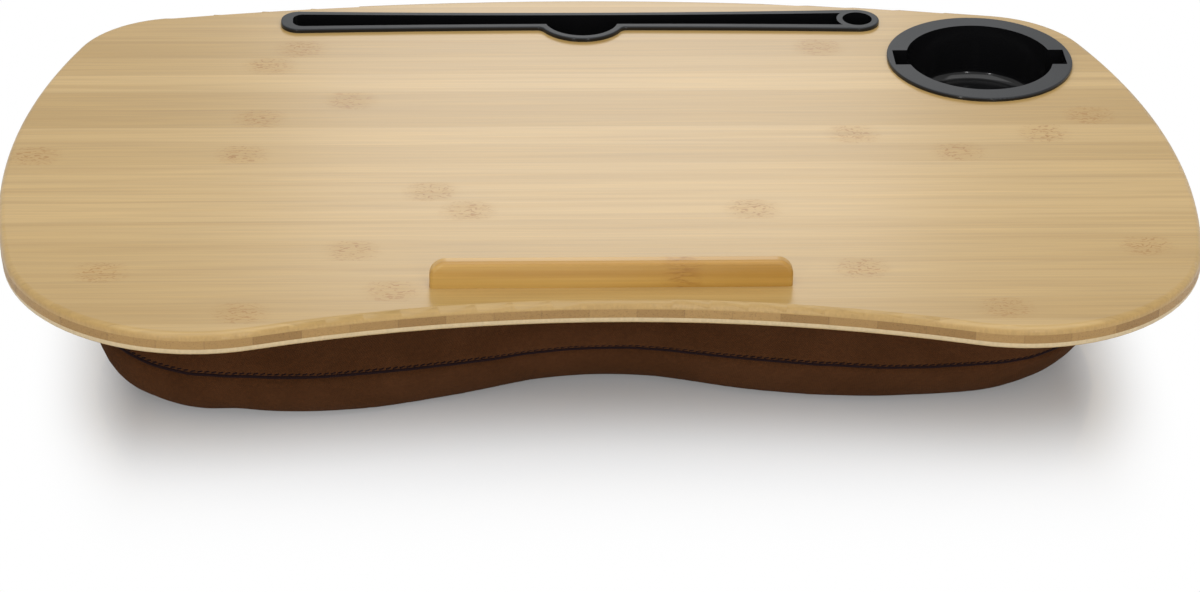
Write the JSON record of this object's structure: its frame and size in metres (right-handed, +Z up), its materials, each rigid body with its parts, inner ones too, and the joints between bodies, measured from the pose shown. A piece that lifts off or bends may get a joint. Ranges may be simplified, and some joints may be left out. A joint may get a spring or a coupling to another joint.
{
  "type": "lap tray with cushion",
  "caption": "Bamboo lap tray with a tablet slot, pen well, cup well and stop ledge, on a brown kidney-shaped bead cushion with a zipped cover.",
  "frame": {"origin": "on the floor under the middle of the board", "axes": "+X to the user's right along the board, +Y away from the user, +Z up"},
  "size_m": [0.6, 0.3688, 0.0853],
  "materials": {
    "bamboo_face": "satin varnish",
    "bamboo_core": "sanded edge, satin varnish",
    "bamboo_ledge": "satin varnish",
    "black_plastic": "satin moulded",
    "screw_steel": "zinc plated",
    "hook_tape": "woven hook tape",
    "loop_tape": "woven loop tape",
    "cover_fabric": "plain weave",
    "liner_fabric": "nonwoven",
    "foam_beads": "expanded foam beads",
    "zip_tape": "woven tape",
    "zip_plastic": "moulded",
    "zip_metal": "nickel plated"
  },
  "bodies": {
    "tray": {"top_ply": "bamboo_face", "core_strips": "bamboo_core", "bottom_ply": "bamboo_face", "device_ledge": "bamboo_ledge", "ledge_screws": "screw_steel", "slot_insert": "black_plastic", "cup_insert": "black_plastic", "hook_strips": "hook_tape", "loop_strips": "loop_tape", "cover_top_panel": "cover_fabric", "cover_upper_band": "cover_fabric", "cover_lower_shell": "cover_fabric", "inner_bag": "liner_fabric", "bead_fill": "foam_beads", "zip_tape_upper": "zip_tape", "zip_tape_lower": "zip_tape", "zip_teeth_upper": "zip_plastic", "zip_teeth_lower": "zip_plastic", "zip_stops": "zip_metal"},
    "zip_slider_body": {"zip_slider": "zip_metal"},
    "zip_loop_body": {"zip_loop": "zip_metal"},
    "zip_pull_body": {"zip_pull": "zip_metal"}
  },
  "joints": [
    {"name": "zip_travel", "type": "hinge", "parent": "tray", "child": "zip_slider_body", "pos_m": [0, -0.13954, 0.0235], "axis": [0, 0, -1], "range_deg": [0, 66.3]},
    {"name": "loop_swing", "type": "hinge", "parent": "zip_slider_body", "child": "zip_loop_body", "pos_m": [-0.24548, -0.0156, 0.0235], "axis": [0.4507, 0.8927, 0], "range_deg": [0, 150]},
    {"name": "pull_swing", "type": "hinge", "parent": "zip_loop_body", "child": "zip_pull_body", "pos_m": [-0.24548, -0.0156, 0.0166], "axis": [-0.8927, 0.4507, 0], "range_deg": [-70, 70]}
  ]
}
